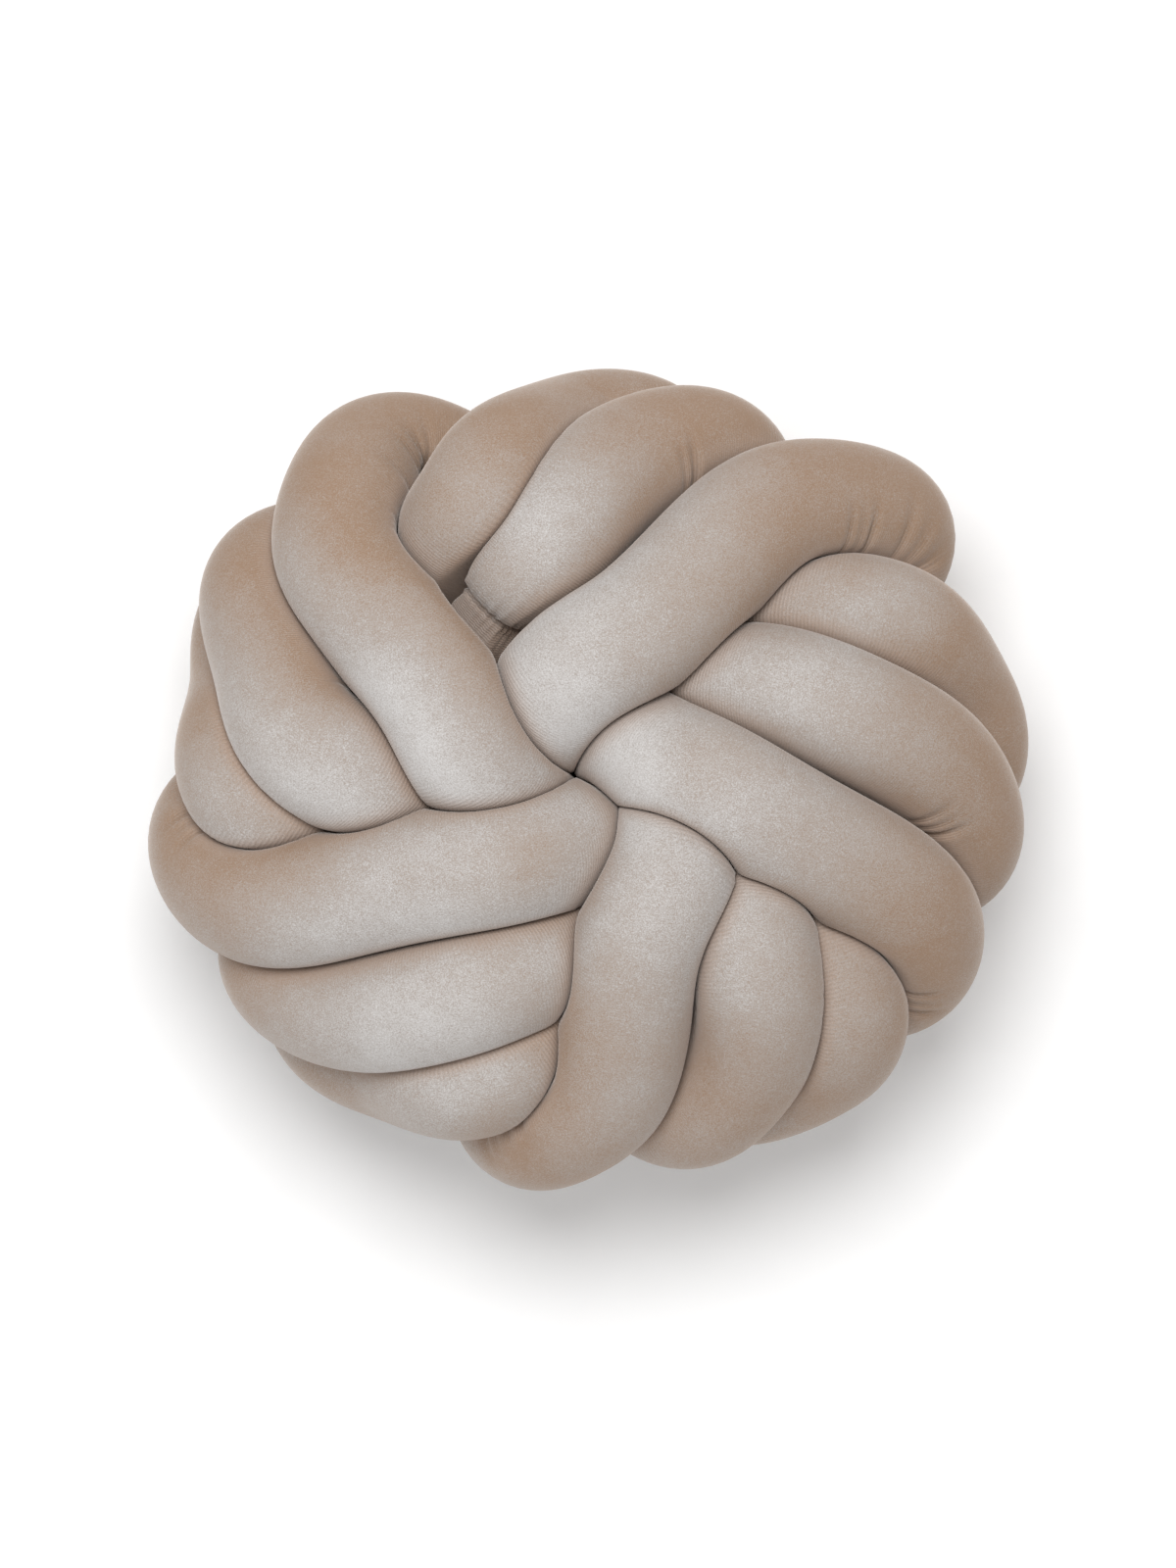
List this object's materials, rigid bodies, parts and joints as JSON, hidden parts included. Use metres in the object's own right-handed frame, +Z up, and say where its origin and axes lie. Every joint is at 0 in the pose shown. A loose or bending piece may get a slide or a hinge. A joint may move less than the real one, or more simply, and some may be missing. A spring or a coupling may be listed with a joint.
{
  "type": "knot cushion",
  "caption": "Round decorative cushion: a ball knot of fat stuffed velvet tubes that run side by side over and under each other, lying on its back.",
  "frame": {"origin": "on the surface, under the middle of the cushion's bounding box", "axes": "+Z up out of the knot's face, the cushion's shortest extent; +X to the right and +Y to the top of the face as it is seen"},
  "size_m": [0.357, 0.3348, 0.2068],
  "materials": {
    "velvet": "taupe stretch velvet with a silvery nap"
  },
  "bodies": {
    "root": {"inner_tube": "velvet", "middle_tube": "velvet", "outer_tube": "velvet"}
  },
  "joints": []
}
